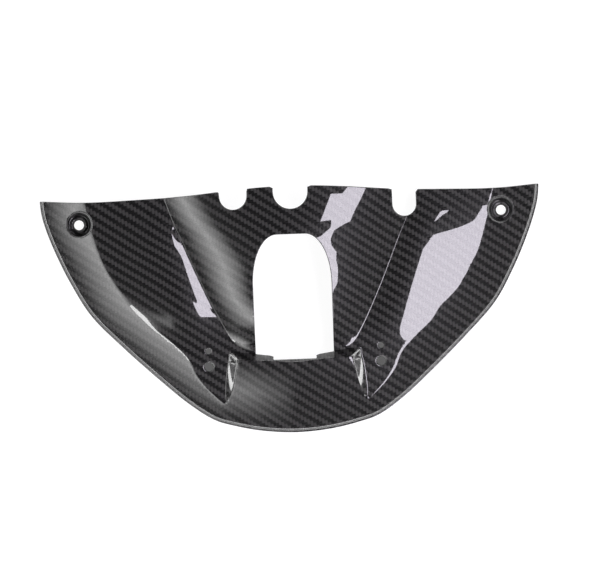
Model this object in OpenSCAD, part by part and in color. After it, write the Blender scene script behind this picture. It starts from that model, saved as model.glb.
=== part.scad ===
// Front spoiler: one moulded panel of lacquered carbon twill, half-moon in plan.
// X runs along the straight mounting edge, Y from the lower rim to that edge, Z up
// from the surface it lies on, outer face up. Origin under the centre of its box.

/* [Panel] */
// Half of the width across the two corner ends
half_width = 178; // [174:0.5:182]
// Depth from the corner line down to the middle of the lower rim
panel_depth = 171.2; // [169:0.1:173]
// Thickness of the laminate
wall = 1.8; // [1.6:0.1:2.2]
// Height of the turned-down rim before the outer band begins
rim_h = 4; // [3:0.25:5]
// Width in plan of the turned-down rim
rim_w = 3.5; // [3:0.25:4.5]
// Height of the upright land at the foot of the rim
rim_land = 0.6; // [0.4:0.1:1]

/* [Window] */
// Half width of the window
window_half_w = 27.6; // [25:0.1:29]
// Upper edge of the window, below the corner line
window_top = 30.5; // [30:0.5:34]
// Lower edge of the window at its sides
window_ledge = 114; // [112:0.5:115]
// Width of the long curve at each upper corner
window_curve_w = 17.5; // [14:0.5:20]
// Height of that curve
window_curve_h = 34.5; // [20:0.5:40]
// Half width of the shallow step in the lower edge
step_half_w = 15; // [12:0.5:18]
// Lower edge of the window inside that step
step_ledge = 118.4; // [117:0.2:119]

/* [Edge notches] */
// Place along the edge, half width and depth of each round-bottomed notch
notches = [[-39.6, 9.6, 11.8], [0.8, 12.1, 12.6], [81.1, 8.4, 20]];

/* [Corner wells] */
// Distance of each corner bolt hole from the middle
well_x = 150.3; // [148:0.1:152]
// Distance of the corner bolt holes below the corner line
well_drop = 18; // [17:0.5:20]
// Radius of the corner bolt holes
well_hole_r = 3.5; // [3:0.1:4]
// Radius of the flat seat around the bolt hole
well_seat_r = 7.2; // [6:0.1:8]
// Height of the seat
well_seat_z = 7; // [6:0.1:8]
// Widening of the well wall per millimetre of height
well_draft = 0.25; // [0.2:0.01:0.4]

/* [Leg holes] */
// Distance of both leg holes from the middle
leg_x = 61.2; // [60:0.1:62]
// Distance of the small leg hole below the corner line
leg_small_drop = 111; // [110:0.5:112]
// Radius of the small leg hole
leg_small_r = 1.9; // [1.5:0.1:2.2]
// Distance of the large leg hole below the corner line
leg_large_drop = 122; // [121:0.5:123]
// Radius of the large leg hole
leg_large_r = 3; // [2.6:0.1:3.3]

/* [Hidden] */
$fn = 64;

// The highest part of the mounting edge stands this far above the corner line
edge_crown = 3.5;
// Shift from the corner line to the middle of the box
box_shift = (panel_depth - edge_crown) / 2;

// The face is drawn this far past the mounting edge, then trimmed to it
spare = 10;

// Right half of the lower outline, from the corner end to the middle of the rim and one
// knot past it, which keeps the curve smooth there
outline_knots = [
    [half_width, spare], [half_width, -3], [half_width - 2.2, -16], [half_width - 9.2, -36],
    [157.8, -60], [143.5, -84], [120.8, -108], [95.5, -132], [77.2, -148], [60, -159.8],
    [45, -165], [24, -169.4], [0, -panel_depth], [-24, -169.4]
];
// Right half of the mounting edge: distance from the middle, height over the corner line
edge_knots = [[0, 3.5], [16, 3.4], [40, 2], [72, -0.5], [110, -1.9], [146, -2.4], [half_width, 0]];

// Lines across the panel: height over the corner line, then the value there.
// Convex crease between the side bulges and the outer band
crease_knots = [
    [-175, 0], [-165, 10], [-159.5, 33.9], [-153, 45], [-148.3, 51.7], [-142, 58.4],
    [-135, 64.9], [-126.7, 70.6], [-115, 75.6], [-103, 87], [-93, 99], [-79.3, 112],
    [-50.6, 131], [-25, 139.5], [6, 146]
];
// Foot of the central hump, where it meets the side bulges
valley_knots = [[-175, 33], [-118, 36], [-103, 45], [-88, 53], [-70, 61.5], [-50, 70], [-33, 77],
    [-21, 82.3], [-5, 88], [6, 91]];
valley_z = [[-175, 7.5], [-150, 11.6], [-142, 13.4], [-127, 16.6], [-112, 19.2], [-104, 20],
    [-88, 21.2], [-60, 22.4], [-33, 22.6], [-10, 21], [6, 20.2]];
// Slope of the side bulge from the foot of the hump up to its ridge
bulge_rise = [[-175, 0], [-112, 0], [-104, 0.02], [-92, 0.1], [-80, 0.24], [-67, 0.29], [-50, 0.28],
    [-33, 0.25], [-21, 0.165], [-10, 0.06], [6, 0]];
// How far outside the foot of the hump the rounded ridge of the bulge runs
bulge_ridge = [[-175, 6], [-150, 8], [-140, 12], [-125, 20], [-112, 25], [-104, 26], [-92, 25],
    [-80, 20], [-67, 16], [-50, 14], [-33, 12.5], [6, 12.5]];
// Half the width over which that ridge is rounded
ridge_half = 11;
// Steepness of the hump's flanks, and how pointed the hump is
hump_slope = [[-175, 0.05], [-113, 0.06], [-106, 0.26], [-94, 0.5], [-67, 0.56], [-33, 0.58],
    [-22, 0.6], [-2, 0.565], [6, 0.56]];
hump_power = [[-175, 1.3], [-113, 1.3], [-94, 1.6], [-67, 1.9], [-45, 1.85], [-33, 1.95],
    [-22, 2.2], [-2, 2.45], [6, 2.5]];
// Slope of the outer band at the rim, and how fast it eases inwards
band_slope = [[-175, 0.6], [-70, 0.58], [-40, 0.58], [-18, 0.56], [6, 0.55]];
band_bend = 0.0026;
// Crisp side edge of the raised chin and the foot of its wall
chin_edge = [[-175, 190], [-156, 95], [-151, 58], [-148, 49.7], [-144.5, 47.6], [-138, 44.8],
    [-128, 42.6], [-117, 41], [6, 41]];
chin_foot = [[-175, 196], [-156, 99], [-151, 60], [-148, 50.6], [-144.5, 50.6], [-138, 50.2],
    [-126, 48.8], [-112, 46.5], [6, 46.5]];
// Top edge of the chin and the foot of its wall, by distance from the middle
chin_top = [[0, -121], [39.6, -118], [200, -118]];
chin_top_foot = [[0, -115.5], [28, -113.7], [46, -112], [200, -112]];

// Smooth curve through [position, value] knots in rising order
function knot_tangent(k, i) = let (a = max(i - 1, 0), b = min(i + 1, len(k) - 1))
    (k[b][1] - k[a][1]) / (k[b][0] - k[a][0]);
function span_of(k, x, i = 0) = i >= len(k) - 2 || x < k[i + 1][0] ? i : span_of(k, x, i + 1);
function glide(k, x) = let (i = span_of(k, x), h = k[i + 1][0] - k[i][0],
    t = min(max((x - k[i][0]) / h, 0), 1))
    k[i][1] * (1 + 2 * t) * pow(1 - t, 2) + h * knot_tangent(k, i) * t * pow(1 - t, 2)
    + k[i + 1][1] * t * t * (3 - 2 * t) - h * knot_tangent(k, i + 1) * t * t * (1 - t);

// Point on the smooth curve through plane knots, s counting the knots
function plane_tangent(k, i) = (k[min(i + 1, len(k) - 1)] - k[max(i - 1, 0)])
    / (min(i + 1, len(k) - 1) - max(i - 1, 0));
function plane_curve(k, s) = let (i = min(floor(s), len(k) - 2), t = s - i)
    k[i] * (1 + 2 * t) * pow(1 - t, 2) + plane_tangent(k, i) * t * pow(1 - t, 2)
    + k[i + 1] * t * t * (3 - 2 * t) - plane_tangent(k, i + 1) * t * t * (1 - t);

outline_half = [for (s = [0 : 0.25 : len(outline_knots) - 2]) plane_curve(outline_knots, s)];

// Distance from a point to the lower outline
function to_segment(p, a, b) = let (d = b - a, t = min(max((p - a) * d / (d * d), 0), 1))
    norm(p - a - t * d);
function rim_distance(p) = let (q = [abs(p[0]), p[1]])
    min([for (i = [0 : len(outline_half) - 2]) to_segment(q, outline_half[i], outline_half[i + 1])]);

// Lower or upper of two heights, rounded where they cross over a height r
function round_min(a, b, r) = let (h = max(r - abs(a - b), 0) / r) min(a, b) - h * h * r / 4;
function round_max(a, b, r) = -round_min(-a, -b, r);

// Outer skin: rolled rim, then a band that rises inwards, chin included
function skin_z(e, y) = rim_land + rim_h * sqrt(1 - pow(1 - min(e / rim_w, 1), 2))
    + glide(band_slope, y) * e - band_bend * pow(min(e, 50), 2);

// Side bulge: a rise from the hump's foot, a rounded ridge, then a fall to the band's crease
function bulge_z(x, y) = let (
    a = glide(valley_knots, y), b = glide(crease_knots, y), za = glide(valley_z, y),
    zb = skin_z(rim_distance([b, y]), y), rise = glide(bulge_rise, y),
    ridge = glide(bulge_ridge, y), fall = (za - zb + rise * ridge) / max(b - a - ridge, 5),
    past = x - a - ridge,
    turned = max(past, 0) + pow(max(ridge_half - abs(past), 0), 2) / (4 * ridge_half))
    za + rise * (x - a) - (rise + fall) * turned;

// Central hump around the window
function hump_z(x, y) = let (a = glide(valley_knots, y), n = glide(hump_power, y))
    glide(valley_z, y) + glide(hump_slope, y) * a * (1 - pow(x / a, n)) / n;

// Share of the chin's full height at a point, from its wall's foot to its top
function chin_share(x, y) = y > -100 ? 0
    : let (e = glide(chin_edge, y), f = glide(chin_foot, y),
           te = glide(chin_top, x), tf = glide(chin_top_foot, x))
      min(max(min((f - x) / (f - e), (tf - y) / (tf - te)), 0), 1);

// Height of the outer face over the surface that the panel lies on
function face_z(p) = let (
    x = abs(p[0]), y = p[1], e = rim_distance(p), skin = skin_z(e, y),
    low = round_min(skin, round_max(bulge_z(x, y), hump_z(x, y), 0.3), 0.4 * min(e / 12, 1) + 0.001))
    low + max(skin - low, 0) * chin_share(x, y);

// Half of the stations along the panel, closer together at the chin's side walls
station_x = concat([for (x = [0 : 6.5 : 36]) x], [for (x = [38 : 2.2 : 52]) x],
    [for (x = [57 : 7 : 147]) x]);
// Where a station meets the outline
function outline_at(x, i = 1) = i >= len(outline_half) - 2 || outline_half[i + 1][0] <= x
    ? let (a = outline_half[i], b = outline_half[i + 1])
      a + (b - a) * (a[0] - x) / (a[0] - b[0])
    : outline_at(x, i + 1);
// Towards the corner ends the stations fan out: place on the outline, then on the edge
fan_x = [[155, 147.8], [164, 148.6], [171.5, 149.4], [175.8, 150.2], [177.5, 151]];
half_rim = concat([for (x = station_x) outline_at(x)], [for (f = fan_x) outline_at(f[0])],
    [[half_width, spare - 3]]);
half_edge = concat([for (x = station_x) [x, spare]], [for (f = fan_x) [f[1], spare]],
    [[152, spare]]);
function whole(half) = concat([for (i = [len(half) - 1 : -1 : 1]) [-half[i][0], half[i][1]]], half);
rim_line = whole(half_rim);
edge_line = whole(half_edge);

// Rows from the rim inwards: first by distance, then by share of the rest of the way
rim_rows = [0, 0.25, 0.9, 2, rim_w];
rest_rows = concat([for (y = [8 : 5.6 : 42]) y / 181], [for (y = [45.2 : 2.3 : 62]) y / 181],
    [for (y = [69 : 9 : 178]) y / 181], [1]);
function row_point(a, b, j) = let (way = norm(b - a), first = len(rim_rows))
    a + (b - a) * (j < first ? rim_rows[j] / way
        : rim_w / way + (1 - rim_w / way) * rest_rows[j - first]);
face_plan = [for (i = [0 : len(rim_line) - 1])
    [for (j = [0 : len(rim_rows) + len(rest_rows) - 1]) row_point(rim_line[i], edge_line[i], j)]];
face = [for (line = face_plan) [for (p = line) [p[0], p[1], face_z(p)]]];

// The inner face: set in by the wall at the foot of the rim, then below the outer face,
// and short of the spare at the mounting edge
function inner_point(p, line) = let (turn = 1 - min(norm([p[0], p[1]] - line[0]) / rim_w, 1),
    out = line[0] - line[1], step = out / norm(out) * wall * turn, y = p[1] - step[1])
    [p[0] - step[0], y > 0 ? 0.9 * y : y, p[2] - 1.1 * wall * sqrt(1 - turn * turn)];
inner = [for (i = [0 : len(face) - 1]) [for (p = face[i]) inner_point(p, face_plan[i])]];

// Solid with a grid of columns as its top and a flat underside at height z0
module grid_block(top, z0) {
    m = len(top);
    n = len(top[0]);
    low = m * n;
    foot = [for (line = top) each [[line[0][0], line[0][1], z0], [line[n - 1][0], line[n - 1][1], z0]]];
    polyhedron(concat([for (line = top) each line], foot), convexity = 6, faces = concat(
        [for (i = [0 : m - 2]) for (j = [0 : n - 2]) let (a = i * n + j, b = a + n)
            each [[a, a + 1, b + 1], [a, b + 1, b]]],
        [for (i = [0 : m - 2]) let (a = i * n, b = a + n, c = low + 2 * i)
            each [[a, b, c + 2], [a, c + 2, c],
                [a + n - 1, c + 1, c + 3], [a + n - 1, c + 3, b + n - 1],
                [c, c + 2, c + 3], [c, c + 3, c + 1]]],
        [[for (j = [n - 1 : -1 : 0]) j, low, low + 1]],
        [[for (j = [0 : n - 1]) (m - 1) * n + j, low + 2 * m - 1, low + 2 * m - 2]]
    ));
}

// Everything above the mounting edge, with its round-bottomed notches
module edge_cut() {
    edge = [for (x = [-half_width - 4 : 4 : half_width + 4]) [x, glide(edge_knots, abs(x))]];
    translate([0, 0, -5]) linear_extrude(70) {
        polygon(concat(edge, [[half_width + 4, 2 * spare], [-half_width - 4, 2 * spare]]));
        for (n = notches) {
            translate([n[0], n[1] - n[2]]) circle(n[1]);
            translate([n[0] - n[1], n[1] - n[2]]) square([2 * n[1], n[2] - n[1] + spare]);
        }
    }
}

// Window opening: long elliptic upper corners, stepped lower edge
module window_cut() {
    arc = [for (a = [0 : 7.5 : 90]) [window_half_w - window_curve_w * (1 - cos(a)),
        -window_top - window_curve_h * (1 - sin(a))]];
    side = concat([[step_half_w, -step_ledge], [step_half_w + 1, -window_ledge - 1.6],
        [window_half_w, -window_ledge]], arc);
    mirrored = [for (i = [len(side) - 1 : -1 : 0]) [-side[i][0], side[i][1]]];
    translate([0, 0, -5]) linear_extrude(70) polygon(concat(side, mirrored));
}

// Cone that widens upwards from the corner well's seat; spread fattens it evenly
module well_cone(spread, sink) {
    top_z = well_seat_z + 24;
    for (side = [-1, 1]) translate([side * well_x, -well_drop, 0]) rotate_extrude()
        polygon([[0, well_seat_z - sink], [well_seat_r + spread, well_seat_z - sink],
            [well_seat_r + spread + well_draft * (top_z - well_seat_z + sink), top_z], [0, top_z]]);
}

module round_holes() {
    for (side = [-1, 1]) {
        translate([side * well_x, -well_drop, -5]) cylinder(h = 70, r = well_hole_r);
        translate([side * leg_x, -leg_small_drop, -5]) cylinder(h = 70, r = leg_small_r);
        translate([side * leg_x, -leg_large_drop, -5]) cylinder(h = 70, r = leg_large_r);
    }
}

// The whole moulding: a block with the outer face, hollowed below, cut level at the foot
// of its rim, trimmed and pierced
module spoiler_panel() {
    color([0.12, 0.12, 0.13]) translate([0, box_shift, 0]) difference() {
        grid_block(face, -3);
        difference() {
            grid_block(inner, -5);
            well_cone(1.5, wall);
        }
        translate([-half_width - 5, -panel_depth - 5, -6])
            cube([2 * half_width + 10, panel_depth + 20, 6]);
        well_cone(0, 0);
        edge_cut();
        window_cut();
        round_holes();
    }
}

spoiler_panel();
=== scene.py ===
from math import cos, pi, radians, sin

import bmesh
import bpy
import numpy as np
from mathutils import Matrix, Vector


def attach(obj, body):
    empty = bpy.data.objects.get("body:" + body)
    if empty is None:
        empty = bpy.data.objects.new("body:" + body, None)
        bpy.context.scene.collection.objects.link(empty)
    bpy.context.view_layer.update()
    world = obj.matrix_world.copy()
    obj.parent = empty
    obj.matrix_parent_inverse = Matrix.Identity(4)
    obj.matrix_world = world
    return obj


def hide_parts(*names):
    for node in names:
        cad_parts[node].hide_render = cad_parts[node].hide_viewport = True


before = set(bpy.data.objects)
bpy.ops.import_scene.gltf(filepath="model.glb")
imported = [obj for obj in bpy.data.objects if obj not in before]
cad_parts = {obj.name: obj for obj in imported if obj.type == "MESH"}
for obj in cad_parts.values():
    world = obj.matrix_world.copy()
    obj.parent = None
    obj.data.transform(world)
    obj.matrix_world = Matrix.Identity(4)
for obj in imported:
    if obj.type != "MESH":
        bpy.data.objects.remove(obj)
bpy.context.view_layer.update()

# The panel: one moulding of carbon twill, laid up in a female mould with its outer face
# against the tool, trimmed along the mounting edge and window, then lacquered. Its sizes
# are in millimetres about the middle of the line through its two corner ends.
HALF_WIDTH, DEPTH, EDGE_CROWN = 178.0, 171.2, 3.5
WALL = 1.8
INNER_DROP = 1.1 * WALL
RIM_H, RIM_W, RIM_LAND = 4.0, 3.5, 0.6
TO_ROW = Vector((0, (DEPTH - EDGE_CROWN) / 2, 0))

# Right half of the lower outline, and the mounting edge's y by distance from the middle.
OUTLINE = [(HALF_WIDTH, 10), (HALF_WIDTH, -3), (175.8, -16), (168.8, -36), (157.8, -60),
           (143.5, -84), (120.8, -108), (95.5, -132), (77.2, -148), (60, -159.8), (45, -165),
           (24, -169.4), (0, -DEPTH)]
EDGE = [(0, EDGE_CROWN), (16, 3.4), (40, 2), (72, -0.5), (110, -1.9), (146, -2.4),
        (HALF_WIDTH, 0)]

# Folds of the face, by y: how far out the outer crease and the hump's foot lie, and the
# height along that foot.
CREASE = [(-175, 0), (-165, 10), (-159.5, 33.9), (-153, 45), (-148.3, 51.7), (-142, 58.4),
          (-135, 64.9), (-126.7, 70.6), (-115, 75.6), (-103, 87), (-93, 99), (-79.3, 112),
          (-50.6, 131), (-25, 139.5), (6, 146)]
VALLEY = [(-175, 33), (-118, 36), (-103, 45), (-88, 53), (-70, 61.5), (-50, 70), (-33, 77),
          (-21, 82.3), (-5, 88), (6, 91)]
VALLEY_Z = [(-175, 7.5), (-150, 11.6), (-142, 13.4), (-127, 16.6), (-112, 19.2), (-104, 20),
            (-88, 21.2), (-60, 22.4), (-33, 22.6), (-10, 21.0), (6, 20.2)]

# Side bulge, by y: its slope from the hump's foot, and how far out its ridge is from there.
BULGE_RISE = [(-175, 0), (-112, 0), (-104, 0.02), (-92, 0.1), (-80, 0.24), (-67, 0.29),
              (-50, 0.28), (-33, 0.25), (-21, 0.165), (-10, 0.06), (6, 0.0)]
RIDGE = [(-175, 6), (-150, 8), (-140, 12), (-125, 20), (-112, 25), (-104, 26), (-92, 25),
         (-80, 20), (-67, 16), (-50, 14), (-33, 12.5), (6, 12.5)]
RIDGE_HALF = 11.0

# Central hump, by y: its slope at the foot, and the power that flattens it to the middle.
HUMP_SLOPE = [(-175, 0.05), (-113, 0.06), (-106, 0.26), (-94, 0.5), (-67, 0.56), (-33, 0.58),
              (-22, 0.6), (-2, 0.565), (6, 0.56)]
HUMP_POWER = [(-175, 1.3), (-113, 1.3), (-94, 1.6), (-67, 1.9), (-45, 1.85), (-33, 1.95),
              (-22, 2.2), (-2, 2.45), (6, 2.5)]

# Outer band: its slope from the rim, by y, and how it bends over as far as BAND_REACH.
BAND_SLOPE = [(-175, 0.6), (-70, 0.58), (-40, 0.58), (-18, 0.56), (6, 0.55)]
BAND_BEND, BAND_REACH = 0.0026, 50

# Raised chin: the upper edge and the foot of its side walls by y, and of its end wall by x.
CHIN_EDGE = [(-175, 190), (-156, 95), (-151, 58), (-148, 49.7), (-144.5, 47.6), (-138, 44.8),
             (-128, 42.6), (-117, 41), (6, 41)]
CHIN_FOOT = [(-175, 196), (-156, 99), (-151, 60), (-148, 50.6), (-144.5, 50.6), (-138, 50.2),
             (-126, 48.8), (-112, 46.5), (6, 46.5)]
CHIN_TOP = [(0, -121), (39.6, -118), (200, -118)]
CHIN_TOP_FOOT = [(0, -115.5), (28, -113.7), (46, -112), (200, -112)]
CHIN_FROM_Y = -100

# Roundings: where the band meets the bulge and hump, fading to none at the rim, where the
# bulge meets the hump, and of the chin's walls.
FOLD_R, FOLD_FADE, VALLEY_R = 0.35, 12, 0.3
CHIN_CORNER_R, CHIN_EDGE_R = 0.2, 0.12


def glide(knots, x):
    """Smooth curve through (place, value) knots, read at the places x."""
    k, v = np.array(knots, float).T
    slope = np.empty_like(v)
    slope[1:-1] = (v[2:] - v[:-2]) / (k[2:] - k[:-2])
    slope[0], slope[-1] = (v[1] - v[0]) / (k[1] - k[0]), (v[-1] - v[-2]) / (k[-1] - k[-2])
    i = np.clip(np.searchsorted(k, x, side="right") - 1, 0, len(k) - 2)
    h = k[i + 1] - k[i]
    t = np.clip((x - k[i]) / h, 0, 1)
    return (v[i] * (1 + 2 * t) * (1 - t) ** 2 + h * slope[i] * t * (1 - t) ** 2
            + v[i + 1] * t * t * (3 - 2 * t) - h * slope[i + 1] * t * t * (1 - t))


def smooth_line(knots, steps):
    """Points along a smooth curve through plane knots, given one more knot at each end."""
    k = np.array(knots, float)
    t = np.linspace(0, 1, steps, endpoint=False)[:, None]
    runs = [k[i] * (1 + 2 * t) * (1 - t) ** 2 + (k[i + 1] - k[i - 1]) / 2 * t * (1 - t) ** 2
            + k[i + 1] * t * t * (3 - 2 * t) - (k[i + 2] - k[i]) / 2 * t * t * (1 - t)
            for i in range(1, len(k) - 2)]
    return np.vstack([*runs, k[-2:-1]])


half_outline = smooth_line([(HALF_WIDTH, 23), *OUTLINE, (-24, -169.4)], 16)


def to_line(xy, line):
    """Distance from each point to a line of straight runs."""
    best = np.full(len(xy), np.inf)
    for start, run in zip(line[:-1], np.diff(line, axis=0)):
        t = np.clip((xy - start) @ run / (run @ run), 0, 1)
        best = np.minimum(best, np.hypot(*(start + t[:, None] * run - xy).T))
    return best


def from_rim(xy):
    """Distance from each point to the lower outline of the panel."""
    return to_line(np.abs(xy * (1, 0)) + xy * (0, 1), half_outline)


def round_min(a, b, r):
    """The lesser of two values, blended where they are within r of each other."""
    return np.minimum(a, b) - np.maximum(r - np.abs(a - b), 0) ** 2 / (4 * r)


def skin_height(e, y):
    """Turned-down rim, then the outer band, which rises inwards."""
    return (RIM_LAND + RIM_H * np.sqrt(1 - (1 - np.minimum(e / RIM_W, 1)) ** 2)
            + glide(BAND_SLOPE, y) * e - BAND_BEND * np.minimum(e, BAND_REACH) ** 2)


def bulge_height(x, y):
    """Side bulge: rises from the hump's foot to a rounded ridge, then falls to the crease."""
    a, b = glide(VALLEY, y), glide(CREASE, y)
    za, rise, ridge = glide(VALLEY_Z, y), glide(BULGE_RISE, y), glide(RIDGE, y)
    zb = skin_height(from_rim(np.column_stack([b, y])), y)
    fall = (za - zb + rise * ridge) / np.maximum(b - a - ridge, 5)
    past = x - a - ridge
    turned = np.maximum(past, 0) + np.maximum(RIDGE_HALF - np.abs(past), 0) ** 2 / (4 * RIDGE_HALF)
    return za + rise * (x - a) - (rise + fall) * turned


def hump_height(x, y):
    """Central hump around the window."""
    a, n = glide(VALLEY, y), glide(HUMP_POWER, y)
    return glide(VALLEY_Z, y) + glide(HUMP_SLOPE, y) * a * (1 - (x / a) ** n) / n


def chin_share(x, y):
    """How far up its wall the raised chin is at a point, from 0 at the foot to 1 on top."""
    e, f = glide(CHIN_EDGE, y), glide(CHIN_FOOT, y)
    te, tf = glide(CHIN_TOP, x), glide(CHIN_TOP_FOOT, x)
    share = round_min((f - x) / (f - e), (tf - y) / (tf - te), CHIN_CORNER_R)
    share = -round_min(-share, np.zeros_like(share), CHIN_EDGE_R)
    share = round_min(share, np.ones_like(share), CHIN_EDGE_R)
    return np.where(y > CHIN_FROM_Y, 0, share)


def face_height(xy):
    """Height of the outer face over the table, at points in the panel's plan."""
    x, y = np.abs(xy[:, 0]), xy[:, 1]
    e = from_rim(xy)
    skin = skin_height(e, y)
    soft = FOLD_R * np.minimum(e / FOLD_FADE, 1) + 0.001
    inside = -round_min(-bulge_height(x, y), -hump_height(x, y), VALLEY_R)
    low = round_min(skin, inside, soft)
    return low + np.maximum(skin - low, 0) * chin_share(x, y)


def spaced(stops):
    """Grid lines: (from, to, step) runs one after another."""
    return np.concatenate([np.linspace(a, b, round((b - a) / s), endpoint=False)
                           for a, b, s in stops] + [[stops[-1][1]]])


def arc(cx, cy, rx, ry, start, end, count):
    """Points along an elliptical arc, between two angles in degrees."""
    return [(cx + rx * cos(a), cy + ry * sin(a))
            for a in np.radians(np.linspace(start, end, count))]


# Lines that the moulding is trimmed to: the mounting edge with its three round-bottomed
# notches, whose tabs have small round corners, and the window with its stepped lower edge.
NOTCHES = [(-39.6, 9.6, 11.8), (0.8, 12.1, 12.6), (81.1, 8.4, 20.0)]
TAB_R = 1.2
PAST_END = 200


def edge_points(start, stop, step):
    """Points along the mounting edge."""
    return [(x, float(glide(EDGE, abs(x)))) for x in np.arange(start, stop, step)]


mount_line = [(-PAST_END, float(glide(EDGE, HALF_WIDTH))), *edge_points(-HALF_WIDTH, -53, 4.0)]
for place, half, deep in NOTCHES:
    if place > 0:
        mount_line += edge_points(mount_line[-1][0] + 3, place - half - 4, 3.0)
    left, right = (float(glide(EDGE, abs(place + s * (half + TAB_R)))) for s in (-1, 1))
    mount_line += arc(place - half - TAB_R, left - TAB_R, TAB_R, TAB_R, 90, 0, 6)
    mount_line += arc(place, half - deep, half, half, 180, 360, 25)
    mount_line += arc(place + half + TAB_R, right - TAB_R, TAB_R, TAB_R, 180, 90, 6)
mount_line += edge_points(93, 180, 4.0)
mount_line += [(PAST_END, 0.0), (PAST_END, -400), (-PAST_END, -400)]
WINDOW_HALF, WINDOW_TOP, CURVE_W, CURVE_H = 27.6, -30.5, 17.5, 34.5
LEDGE_Y, STEP_HALF, STEP_Y = -114.0, 15.0, -118.4
window_side = [(STEP_HALF, STEP_Y), (STEP_HALF + 1, LEDGE_Y - 1.6), (WINDOW_HALF, LEDGE_Y)]
window_side += arc(WINDOW_HALF - CURVE_W, WINDOW_TOP - CURVE_H, CURVE_W, CURVE_H, 0, 90, 22)
window_line = window_side + [(-x, y) for x, y in reversed(window_side)]


def depth_in(xy, loop):
    """Distance inside a closed line, negative outside it."""
    line = np.array([*loop, loop[0]], float)
    (ax, ay), (bx, by) = line[:-1].T, line[1:].T
    x, y = xy[:, 0, None], xy[:, 1, None]
    rise = np.where(by == ay, 1, by - ay)
    crosses = ((ay > y) != (by > y)) & (x < ax + (y - ay) * (bx - ax) / rise)
    return to_line(xy, line) * np.where(crosses.sum(1) % 2, 1, -1)


def plan_of(verts):
    """Where vertices are in plan."""
    return np.array([v.co.xy for v in verts], float).reshape(-1, 2)


def measured(depth, xy):
    """A depth as a distance in plan, and the unit way in which it grows."""
    s = 0.02
    grow = np.column_stack([depth(xy + (s, 0)) - depth(xy - (s, 0)),
                            depth(xy + (0, s)) - depth(xy - (0, s))]) / (2 * s)
    size = np.maximum(np.hypot(*grow.T), 1e-6)
    return depth(xy) / size, grow / size[:, None]


# What a vertex of the moulding is on; one may be on several.
RIM, ROLL, FOOT, MOUNT, WINDOW, LARGE, SMALL, WELL, SCORED = (1 << i for i in range(9))

# Sheet to cut the panel from: a grid whose lines are closer where the form is tighter.
bm = bmesh.new()
lines_x = spaced([(-181, -70, 1.9), (-70, -54, 1.2), (-54, -37, 1.3), (-37, 0, 1.9)])
lines_x = np.concatenate([lines_x, -lines_x[-2::-1]])
lines_y = spaced([(-174, -152, 1.6), (-152, -127, 1.8), (-127, -106, 1.2), (-106, 8, 1.9)])
bmesh.ops.create_grid(bm, x_segments=len(lines_x) - 1, y_segments=len(lines_y) - 1, size=1)
on = bm.verts.layers.int.new("on")
cloth = bm.verts.layers.float_vector.new("cloth")
inset = bm.verts.layers.float_vector.new("inset")
for v in bm.verts:
    v.co.x = lines_x[round((v.co.x + 1) / 2 * (len(lines_x) - 1))]
    v.co.y = lines_y[round((v.co.y + 1) / 2 * (len(lines_y) - 1))]


def settle(verts, depth):
    """Moves vertices in plan onto the line where a depth is nought."""
    if not verts:
        return
    xy = plan_of(verts)
    for _ in range(3):
        far, way = measured(depth, xy)
        xy = xy - way * far[:, None]
    for v, place in zip(verts, xy):
        v.co.xy = place


LOCKED_REACH = 0.12


def score(depth, bit, reach, locked):
    """Runs edges along the line where depth is nought, moving near vertices onto it."""
    verts = [v for v in bm.verts if not locked & ROLL or not v[on] & ROLL]
    far, _ = measured(depth, plan_of(verts))
    value = dict(zip(verts, far))
    near = [v for v in verts if abs(value[v]) < (LOCKED_REACH if v[on] & locked else reach)]
    settle([v for v in near if not v[on] & locked], depth)
    for v in near:
        value[v] = 0.0
        v[on] |= bit
    fresh = []
    crossed = [e for e in bm.edges if value.get(e.verts[0], 0) * value.get(e.verts[1], 0) < 0]
    for e in crossed:
        a, b = e.verts
        share = value[a] / (value[a] - value[b])
        shared = a[on] & b[on]
        _, v = bmesh.utils.edge_split(e, a, share)
        v[on] = shared | bit
        fresh.append(v)
    settle(fresh, depth)
    bmesh.ops.connect_verts(bm, verts=near + fresh)


def trim(depth, bit, reach=0.55):
    """Cuts the panel along the line where depth is nought and keeps what is deeper."""
    score(depth, bit, reach, 0)
    faces = list(bm.faces)
    middles = np.array([f.calc_center_median().xy for f in faces], float)
    waste = [f for f, d in zip(faces, depth(middles)) if d < 0]
    bmesh.ops.delete(bm, geom=waste, context="FACES")
    bmesh.ops.delete(bm, geom=[v for v in bm.verts if not v.link_faces], context="VERTS")


def border(bit):
    """Open edges along a cut, and their vertices in a fixed order."""
    edges = [e for e in bm.edges if e.is_boundary and all(v[on] & bit for v in e.verts)]
    return edges, list(dict.fromkeys(v for e in edges for v in e.verts))


def sweep(edges, ring, rows, out, bit=0, insets=None):
    """Extrudes a border row by row to the given places of its vertices."""
    for k, places in enumerate(rows):
        made = bmesh.ops.extrude_edge_only(bm, edges=edges)["geom"]
        fresh = {g for g in made if isinstance(g, bmesh.types.BMVert)}
        follow = {e.other_vert(v): v for v in fresh for e in v.link_edges
                  if e.other_vert(v) not in fresh}
        edges = [g for g in made if isinstance(g, bmesh.types.BMEdge)
                 and all(v in fresh for v in g.verts)]
        for i, (v, place) in enumerate(zip(ring, places)):
            n = follow[v]
            n.co = place
            n[on] = bit
            n[cloth] = v[cloth] + Vector((*out[i], 0)) * (n.co - v.co).length
            if insets is not None:
                n[inset] = insets[k][i]
        ring = [follow[v] for v in ring]
    return edges, ring


# Rim: the face is cut where the turned-down rim begins, and the rim rolled down from there
# to the table.
outline_loop = [*half_outline.tolist(), *(half_outline[-2::-1] * (-1, 1)).tolist()]
outline_loop = [(178, 60), *outline_loop, (-178, 60)]
trim(lambda xy: depth_in(xy, outline_loop) - RIM_W, RIM)
for v in bm.verts:
    v[cloth] = v.co
    v[inset] = 0, 0, -INNER_DROP

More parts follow.
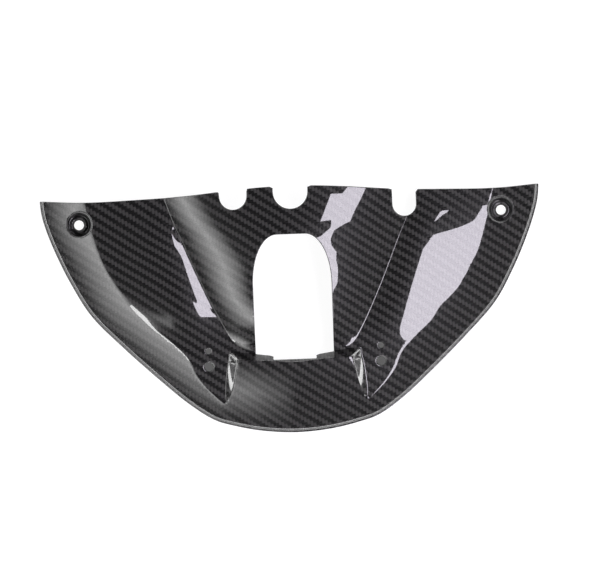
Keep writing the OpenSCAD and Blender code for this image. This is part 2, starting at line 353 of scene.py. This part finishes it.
# Rim's section: distance in from the outline, height, and how far in and down its inside is.
# It is drawn for a rim whose top is at RIM_TOP, and stretched to the real one's height.
RIM_TOP = 6.6
RIM_PATH = [(3.0, 6.28, 0.6, 1.9), (2.5, 5.9, 1.0, 1.7), (2.1, 5.45, 1.3, 1.4),
            (1.8, 4.9, 1.6, 1.0), (1.6, 4.3, 1.75, 0.6), (1.45, 3.5, 1.8, 0.3),
            (1.2, 1.7, 1.8, 0.1), (1.08, 0.8, 1.8, 0), (1.0, 0.6, 1.6, 0.6),
            (0.35, 0.56, 1.0, 0.56), (0.1, 0.44, 0.6, 0.44), (0, 0.22, 0.3, 0.22), (0, 0, 0, 0)]
edges, ring = border(RIM)
start = plan_of(ring)
_, inwards = measured(lambda xy: depth_in(xy, outline_loop), start)
rows, insets = [], []
for e, z, way_in, drop in RIM_PATH:
    place = start - inwards * (RIM_W - e)
    level = skin_height(np.full(len(ring), RIM_W), place[:, 1])
    rows.append(np.column_stack([place, z * level / RIM_TOP]))
    insets.append(np.column_stack([inwards * way_in, -drop * level / RIM_TOP]))
edges, ring = sweep(edges, ring, rows, -inwards, ROLL, insets)
for v in ring:
    v[on] |= FOOT

# Creases: edges run along each fold of the face and a little to both sides of it, so that
# it stays crisp.
CRISP = 0.8
for fold in (CREASE, VALLEY):
    for shift in (-CRISP, 0, CRISP):
        score(lambda xy: np.abs(xy[:, 0]) - glide(fold, xy[:, 1]) + shift, SCORED, 0.35,
              SCORED | RIM | ROLL)


CHIN_WALL_W, CHIN_CRISP = 5.5, 0.6


def chin_wall(level, shift):
    """Depth of the line at a level of the chin's wall, about in millimetres."""
    def depth(xy):
        x, y = np.abs(xy[:, 0]), xy[:, 1]
        e, f = glide(CHIN_EDGE, y), glide(CHIN_FOOT, y)
        te, tf = glide(CHIN_TOP, x), glide(CHIN_TOP_FOOT, x)
        side, top = (f - x) / np.abs(f - e), (tf - y) / np.abs(tf - te)
        return (np.minimum(side, top) - level) * CHIN_WALL_W + shift
    return depth


for level in (0, 1):
    for shift in (-CHIN_CRISP, 0, CHIN_CRISP):
        score(chin_wall(level, shift), SCORED, 0.3, SCORED | RIM | ROLL)

# Cuts: each is made a lip's radius short of its line, and the lip is rounded off later.
# A leg hole has its distance from the mounting line, its radius and its lip's.
LIP = 0.6
WELLS = [(s * 150.3, -18) for s in (-1, 1)]
SEAT_R, SEAT_Z, WELL_R, DRAFT = 7.2, 7.0, 3.5, 0.25
LEGS = {LARGE: (122.0, 3.0, 1.4), SMALL: (111.0, 1.9, 1.0)}
LEG_X = 61.2


def from_centres(xy, centres):
    """Distance from each point to the nearest centre."""
    return np.min([np.hypot(*(xy - c).T) for c in centres], axis=0)


def leg_centres(drop):
    return [(s * LEG_X, -drop) for s in (-1, 1)]


def mount_depth(xy):
    return depth_in(xy, mount_line)


def window_depth(xy):
    return -depth_in(xy, window_line)


def well_depth(xy):
    rise = (from_centres(xy, WELLS) - 0.4 - SEAT_R) / DRAFT
    return SEAT_Z + np.minimum(rise, 60) - face_height(xy)


trim(lambda xy: mount_depth(xy) - LIP, MOUNT)
trim(lambda xy: window_depth(xy) - LIP, WINDOW)
for bit, (drop, radius, lip) in LEGS.items():
    trim(lambda xy: from_centres(xy, leg_centres(drop)) - radius - lip, bit, 0.4)
trim(well_depth, WELL)

# Where a cut ran across another, the open edges by the window are marked as its own.
loose = [e for e in bm.edges if e.is_boundary and not e.verts[0][on] & e.verts[1][on]]
for v in {v for e in loose for v in e.verts if abs(window_depth(plan_of([v]))[0]) < 3}:
    v[on] |= WINDOW

face_verts = [v for v in bm.verts if not v[on] & ROLL]
xy = plan_of(face_verts)
for v, z in zip(face_verts, face_height(xy)):
    v.co.z = z
    v[cloth] = v.co

# Inner face: a copy of the outer one, a wall's thickness inside it.
twins = bmesh.ops.duplicate(bm, geom=[*bm.verts, *bm.edges, *bm.faces])
inner_verts = [g for g in twins["geom"] if isinstance(g, bmesh.types.BMVert)]
inner_faces = [g for g in twins["geom"] if isinstance(g, bmesh.types.BMFace)]
twin = twins["vert_map"]
for v in inner_verts:
    v.co += v[inset]
    v[on] = 0


def close(edges, ring, rows, out):
    """Sweeps a cut's wall from the outer face through its rows, and joins it to the inner one."""
    inside = np.array([twin[v].co for v in ring])
    sweep(edges, ring, [*rows, inside], out)


def slope_along(xy, way):
    """Slope of the face in a direction."""
    return (face_height(xy + way * 0.1) - face_height(xy - way * 0.1)) / 0.2


def round_lip(bit, depth, radius):
    """Rounds a cut's edge over in four rows, then drops its wall to the inner face."""
    edges, ring = border(bit)
    start = np.array([v.co for v in ring])
    _, way = measured(depth, start[:, :2])
    out = -way
    lean = np.clip(slope_along(start[:, :2], out), -0.6, 0.6)
    rows = []
    for a in (20, 42, 66, 90):
        run = radius * sin(radians(a))
        place = start[:, :2] + out * run
        z = start[:, 2] + lean * run - radius * (1 - cos(radians(a)))
        rows.append(np.column_stack([place, z]))
    foot = np.minimum(start[:, 2] - INNER_DROP + 0.2, z - 0.1)
    rows.append(np.column_stack([place, foot]))
    for row in rows:
        row[:, 2] = np.maximum(row[:, 2], 0)
    close(edges, ring, rows, out)


round_lip(MOUNT, mount_depth, LIP)
round_lip(WINDOW, window_depth, LIP)
for bit, (drop, radius, lip) in LEGS.items():
    round_lip(bit, lambda xy: from_centres(xy, leg_centres(drop)), lip)

# Corner wells: a cone down to a flat seat with the bolt hole in it.
edges, ring = border(WELL)
start = np.array([v.co for v in ring])
centre = np.array([WELLS[int(x > 0)] for x in start[:, 0]])
out = start[:, :2] - centre
reach = np.hypot(*out.T)[:, None]
out /= reach


def well_row(share, r, z):
    """Between the upper edge of the cone (share 1) and a circle at radius r and height z."""
    return np.column_stack([centre + out * (r + (reach - 0.7 - r) * share),
                            z + (start[:, 2] - 0.5 - z) * share])


# Seat's section, as radius and height over the seat: the cone's foot, a raised ring, the
# bore's rounded edge, the bore and the underside.
SEAT_PATH = [(SEAT_R + 0.25, 0.35), (SEAT_R - 0.3, 0), (6.6, 0), (6.3, 0.35), (5.95, 0.75),
             (5.5, 0.95), (5.0, 0.95), (4.6, 0.75), (4.3, 0.35), (WELL_R + 0.6, -0.05),
             (WELL_R + 0.2, -0.15), (WELL_R, -0.4), (WELL_R, -WALL), (SEAT_R + 0.6, -WALL)]
rows = [np.column_stack([centre + out * (reach - 0.35), start[:, 2] - 0.12]),
        well_row(1, SEAT_R, SEAT_Z), well_row(0.5, SEAT_R, SEAT_Z)]
rows += [well_row(0, r, SEAT_Z + z) for r, z in SEAT_PATH]
close(edges, ring, rows, -out)

# Foot of the rim, then the small gaps where cuts meet.
edges, ring = border(FOOT)
close(edges, ring, [], np.zeros((len(ring), 2)))
bmesh.ops.remove_doubles(bm, verts=bm.verts, dist=0.01)
open_edges = [e for e in bm.edges if e.is_boundary]
bmesh.ops.holes_fill(bm, edges=open_edges, sides=24)
inner_set = {f for f in inner_faces if f.is_valid}
for f in bm.faces:
    f.smooth = True
    f.material_index = int(f in inner_set)
bmesh.ops.recalc_face_normals(bm, faces=bm.faces)

# The finished mesh, in metres and in the part's place, with the face's true normals.
face_index = [v for v in bm.verts if v in twin and not v[on] & ROLL]
xy = plan_of(face_index)
tilt = np.column_stack([(face_height(xy + (0.05, 0)) - face_height(xy - (0.05, 0))) / 0.1,
                        (face_height(xy + (0, 0.05)) - face_height(xy - (0, 0.05))) / 0.1])
for v in bm.verts:
    v.co = (v.co + TO_ROW) / 1000
bm.verts.index_update()
normals = np.zeros((len(bm.verts), 3))
normals[[v.index for v in face_index]] = np.column_stack([-tilt, np.ones(len(xy))])
normals /= np.maximum(np.linalg.norm(normals, axis=1), 1e-9)[:, None]
mesh = bpy.data.meshes.new("spoiler")
bm.to_mesh(mesh)
bm.free()
mesh.set_sharp_from_angle(angle=radians(50))
mesh.normals_split_custom_set_from_vertices(normals.tolist())
panel = bpy.data.objects.new("spoiler", mesh)
bpy.context.collection.objects.link(panel)


class Tone:
    """A socket of a material's node tree, with Python's arithmetic."""

    def __init__(self, tree, socket):
        self.tree, self.socket = tree, socket

    def node(self, kind, settings=None, inputs=None, output=0):
        """Any node: its settings are made first, then its sockets filled or linked."""
        made = self.tree.nodes.new("ShaderNode" + kind)
        for name, value in (settings or {}).items():
            setattr(made, name, value)
        for name, value in (inputs or {}).items():
            if isinstance(value, Tone):
                self.tree.links.new(value.socket, made.inputs[name])
            else:
                made.inputs[name].default_value = value
        return Tone(self.tree, made.outputs[output])

    def math(self, operation, *values):
        return self.node("Math", {"operation": operation}, dict(enumerate(values)))

    def at_most(self, limit):
        return self.math("MINIMUM", self, limit)

    def at_least(self, limit):
        return self.math("MAXIMUM", self, limit)

    def __add__(self, other):
        return self.math("ADD", self, other)

    def __sub__(self, other):
        return self.math("SUBTRACT", self, other)

    def __rsub__(self, other):
        return self.math("SUBTRACT", other, self)

    def __mul__(self, other):
        return self.math("MULTIPLY", self, other)

    def __truediv__(self, other):
        return self.math("DIVIDE", self, other)

    def __mod__(self, other):
        return self.math("FLOORED_MODULO", self, other)

    def __lt__(self, other):
        return self.math("LESS_THAN", self, other)

    __radd__ = __add__
    __rmul__ = __mul__


def mixed(share, a, b):
    """Colour a where share is 0 and colour b where it is 1."""
    return share.node("Mix", {"data_type": "RGBA"}, {0: share, 6: a, 7: b}, 2)


def seen_white(tree):
    """1 for a ray from the eye, off a gloss face or through a clear one, and 0 for others."""
    rays = Tone(tree, None).node("LightPath")
    ways = rays.socket.node.outputs
    rays = rays + Tone(tree, ways["Is Glossy Ray"]) + Tone(tree, ways["Is Transmission Ray"])
    return rays.at_most(1.0)


# Lacquered carbon: 2x2 twill of 3K tows, two millimetres wide, under clear lacquer.
TOW = 2.0
WEAVE_TURN = radians(11)
lacquered = bpy.data.materials.new("lacquered_carbon")
lacquered.use_nodes = True
tree = lacquered.node_tree
shader = tree.nodes["Principled BSDF"]
base = Tone(tree, None)
place = base.node("Attribute", {"attribute_name": "cloth"}, output=1)
drift = base.node("TexNoise", inputs={"Vector": place, "Scale": 0.02, "Detail": 1.0}, output=1)
drift = base.node("VectorMath", {"operation": "SUBTRACT"}, {0: drift, 1: (0.5, 0.5, 0.5)})
drift = base.node("VectorMath", {"operation": "SCALE"}, {0: drift, "Scale": 2.5})
place = base.node("VectorMath", {"operation": "ADD"}, {0: place, 1: drift})
turned = base.node("VectorRotate", {"rotation_type": "Z_AXIS"},
                   {"Vector": place, "Angle": -WEAVE_TURN})
along = base.node("SeparateXYZ", inputs={0: turned})
across = Tone(tree, along.socket.node.outputs[1])
column, line = along / TOW, across / TOW
column_at, line_at = column.math("FLOOR", column), line.math("FLOOR", line)
column_in, line_in = column - column_at, line - line_at
phase = (column_at + line_at) % 4.0
warp = phase < 2.0
weft = 1 - warp
run_in = (warp * (phase + column_in) + weft * (phase - 2 + line_in)) / 2
side_in = warp * line_in + weft * column_in
crown = side_in * 2 - 1
crown = 1 - crown * crown
float_form = run_in * 2 - 1
float_form = 1 - float_form * float_form
tow_height = crown * 0.6 + float_form * 0.7

fibre_place = base.node("CombineXYZ", inputs={0: column_at * 7.3 + side_in * 6,
                                              1: line_at * 5.1 + run_in * 0.8, 2: warp * 3.7})
fibres = base.node("TexNoise", inputs={"Vector": fibre_place, "Scale": 1.0, "Detail": 2.0})
# Painted sheen: the weft tows are painted far lighter than the warp, and each tow lighter along
# its crown and float, standing in for fibres catching the side lamps; the fibre noise adds a real
# random tone.
painted_sheen_and_grain = warp * 0.1 + weft * 0.85
painted_sheen_and_grain = painted_sheen_and_grain * (0.4 + crown * 0.45 + float_form * 0.25) + (fibres - 0.5) * 0.3
painted_sheen_and_grain = painted_sheen_and_grain.node("Clamp", inputs={0: painted_sheen_and_grain})
colour = mixed(painted_sheen_and_grain, (0.001, 0.001, 0.0012, 1), (0.052, 0.051, 0.049, 1))
tree.links.new(colour.socket, shader.inputs["Base Color"])
gloss = 0.34 + (1 - float_form) * 0.14 + (fibres - 0.5) * 0.1
tree.links.new(gloss.socket, shader.inputs["Roughness"])
relief = tow_height + fibres * 0.12
bump = base.node("Bump", inputs={"Strength": 0.5, "Distance": 0.00018, "Height": relief})
tree.links.new(bump.socket, shader.inputs["Normal"])
shader.inputs["Coat Weight"].default_value = 1.0
shader.inputs["Coat Roughness"].default_value = 0.018
shader.inputs["Specular IOR Level"].default_value = 0.1
mesh.materials.append(lacquered)

# Bare laminate of the inner face: the same cloth, satin where the bag pressed it.
bare = bpy.data.materials.new("bare_laminate")
bare.use_nodes = True
shader = bare.node_tree.nodes["Principled BSDF"]
plain = Tone(bare.node_tree, None)
spots = plain.node("TexCoord", output=3)
spots = plain.node("TexNoise", inputs={"Vector": spots, "Scale": 60.0, "Detail": 4.0})
colour = mixed(spots, (0.010, 0.010, 0.011, 1), (0.028, 0.028, 0.030, 1))
bare.node_tree.links.new(colour.socket, shader.inputs["Base Color"])
shader.inputs["Roughness"].default_value = 0.42
mesh.materials.append(bare)

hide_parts("spoiler_panel")
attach(panel, "root")


# Table: a white sheet under the panel, which keeps its contact shadow. A soft shade is painted
# into its white below each pair of leg holes, so that the holes show grey.
def set_piece(name, form):
    """A piece of the set, made from a bmesh."""
    data = bpy.data.meshes.new(name)
    form.to_mesh(data)
    form.free()
    made = bpy.data.objects.new(name, data)
    bpy.context.collection.objects.link(made)
    return made


form = bmesh.new()
bmesh.ops.create_grid(form, x_segments=1, y_segments=1, size=4)
table_top = set_piece("table", form)
paper = bpy.data.materials.new("paper")
paper.use_nodes = True
tree = paper.node_tree
sheet = Tone(tree, None)
shader = tree.nodes["Principled BSDF"]
shader.inputs["Base Color"].default_value = 0.16, 0.16, 0.16, 1
shader.inputs["Roughness"].default_value = 0.9
shader.inputs["Specular IOR Level"].default_value = 0.1
# Painted shade: the sheet's white is turned down round a spot below each pair of leg holes.
SHADE_AT, SHADE_REACH, SHADE_CORE, SHADE_DEEPEST = (0.0612, 0.0327, 0), 0.022, 0.35, 0.12
spot = sheet.node("TexCoord", output=3)
spot = spot.node("VectorMath", {"operation": "ABSOLUTE"}, {0: spot})
spot = spot.node("VectorMath", {"operation": "DISTANCE"}, {0: spot, 1: SHADE_AT}, 1)
open_floor = (spot / SHADE_REACH - SHADE_CORE).at_most(1.0).at_least(SHADE_DEEPEST)
lit = mixed(seen_white(tree) * open_floor, (0, 0, 0, 1), (1, 1, 1, 1))
tree.links.new(lit.socket, shader.inputs["Emission Color"])
shader.inputs["Emission Strength"].default_value = 0.95
table_top.data.materials.append(paper)


# Soft boxes: a violet-tinted one on the right and a small white one low on the left, which
# light the panel and show in its lacquer, and which the camera doesn't see.
def glow(name, colour, strength):
    """A plain lamp material."""
    made = bpy.data.materials.new(name)
    made.use_nodes = True
    tree = made.node_tree
    tree.nodes.clear()
    light = tree.nodes.new("ShaderNodeEmission")
    light.inputs["Color"].default_value = *colour, 1
    light.inputs["Strength"].default_value = strength
    end = tree.nodes.new("ShaderNodeOutputMaterial")
    tree.links.new(light.outputs[0], end.inputs["Surface"])
    return made


def lamp_card(name, corners, colour, strength):
    """A flat lamp with its corners at the given places."""
    form = bmesh.new()
    form.faces.new([form.verts.new(p) for p in corners])
    made = set_piece(name, form)
    made.data.materials.append(glow(name, colour, strength))
    made.visible_camera = False
    return made


def leaning(corners):
    """Corners on the plane that the right-hand box leans along."""
    return [(x, y, 1.46 - (x - 0.36) * 0.4545) for x, y in corners]


RIGHT_BOX = [(0.38, -1.05), (0.9, -1.05), (0.9, -0.6), (0.84, -0.5), (0.82, -0.36),
             (0.72, -0.22), (0.67, -0.1), (0.65, 0.02), (0.8, 0.1), (0.78, 0.36), (0.5, 0.5),
             (0.38, 0.62), (0.38, 0.4), (0.52, 0.33), (0.57, 0.12), (0.5, 0.05), (0.38, 0.05)]
lamp_card("right_box", leaning(RIGHT_BOX), (1.0, 0.95, 1.06), 14)

# Its corners by compass angle and angle from straight up, at LOW_FAR from a point beside the
# panel's middle.
LOW_CORNERS = [(221, 43), (221, 47.3), (231, 47.3), (231, 43)]
LOW_FAR, LOW_SHIFT = 1.6, 0.105
low_box = [(LOW_FAR * cos(a) * sin(p) - LOW_SHIFT, LOW_FAR * sin(a) * sin(p), LOW_FAR * cos(p))
           for a, p in np.radians(LOW_CORNERS).tolist()]
lamp_card("low_box", low_box, (1.0, 1.0, 1.0), 17)

# Surroundings: white to the eye, with a black cloth round the table for the lacquer to show.
# The cloth carries a wide pale glow on the left and a bright strip along its foot.
world = bpy.data.worlds.new("studio")
bpy.context.scene.world = world
world.use_nodes = True
tree = world.node_tree
sky = mixed(seen_white(tree), (0.16, 0.16, 0.17, 1), (1, 1, 1, 1))
tree.links.new(sky.socket, tree.nodes["Background"].inputs["Color"])

CLOTH_R, CLOTH_FOOT = 2.3, 0.01
form = bmesh.new()
bmesh.ops.create_uvsphere(form, u_segments=48, v_segments=24, radius=CLOTH_R)
bmesh.ops.bisect_plane(form, geom=[*form.verts, *form.edges, *form.faces],
                       plane_co=(0, 0, CLOTH_FOOT), plane_no=(0, 0, 1), clear_inner=True)
tent = set_piece("black_cloth", form)
cloth_glow = bpy.data.materials.new("black_cloth")
cloth_glow.use_nodes = True
tree = cloth_glow.node_tree
shader = tree.nodes["Principled BSDF"]
shader.inputs["Base Color"].default_value = 0, 0, 0, 1
shader.inputs["Specular IOR Level"].default_value = 0

# Angles in degrees: polar is from straight up, and turn is round from the left.
RING_POLAR, RING_HALF = 51.0, 11
ARC_TURN, ARC_HALF, ARC_FADE = 10, 80, 30
STRIP_FROM, STRIP_FADE = 80, 3
spot = Tone(tree, None).node("NewGeometry")
spot = spot.node("VectorMath", {"operation": "NORMALIZE"}, {0: spot})
side = spot.node("SeparateXYZ", inputs={0: spot}, output=0)
front = Tone(tree, side.socket.node.outputs[1])
height = Tone(tree, side.socket.node.outputs[2])
polar = height.math("ARCCOSINE", height) * (180 / pi)
turn = side.math("ARCTAN2", front * -1, side * -1) * (180 / pi)
off_peak = polar.math("ABSOLUTE", polar - RING_POLAR)
ring = off_peak.math("SMOOTH_MAX", 1 - off_peak / RING_HALF, 0.0, 0.2)
off_side = turn.math("ABSOLUTE", turn - ARC_TURN)
arc_share = off_side.math("SMOOTH_MIN", (ARC_HALF - off_side) / ARC_FADE, 1.0, 0.2).at_least(0.0)
strip = ((polar - STRIP_FROM) / STRIP_FADE).at_least(0.0)
pale = (strip + ring * arc_share * 0.5).at_most(1.0)
pale = mixed(pale, (0.0023, 0.0023, 0.0023, 1), (1, 1, 1, 1))
tree.links.new(pale.socket, shader.inputs["Emission Color"])
shader.inputs["Emission Strength"].default_value = 13.0
tent.data.materials.append(cloth_glow)
tent.visible_camera = tent.visible_diffuse = tent.visible_shadow = False
tent.visible_transmission = False

# Camera: a long lens straight above the panel, which lies a little turned in the picture.
# The picture is 600 by 584, and a pixel on the table is about a third of a tow's width.
PICTURE_W, MM_A_PIXEL = 600, 0.714
LOOK_AT = Vector((0.0052, 0.0126, 0.0))
CAMERA_HEIGHT = 2.4
lens = bpy.data.cameras.new("camera")
lens.sensor_width = 36.0
lens.lens = lens.sensor_width * CAMERA_HEIGHT / (PICTURE_W * MM_A_PIXEL / 1000)
lens.clip_end = 50.0
camera = bpy.data.objects.new("camera", lens)
camera.location = LOOK_AT + Vector((0, 0, CAMERA_HEIGHT))
camera.rotation_euler = 0, 0, radians(-2.1)
bpy.context.collection.objects.link(camera)
bpy.context.scene.camera = camera
bpy.context.scene.view_settings.view_transform = "Standard"
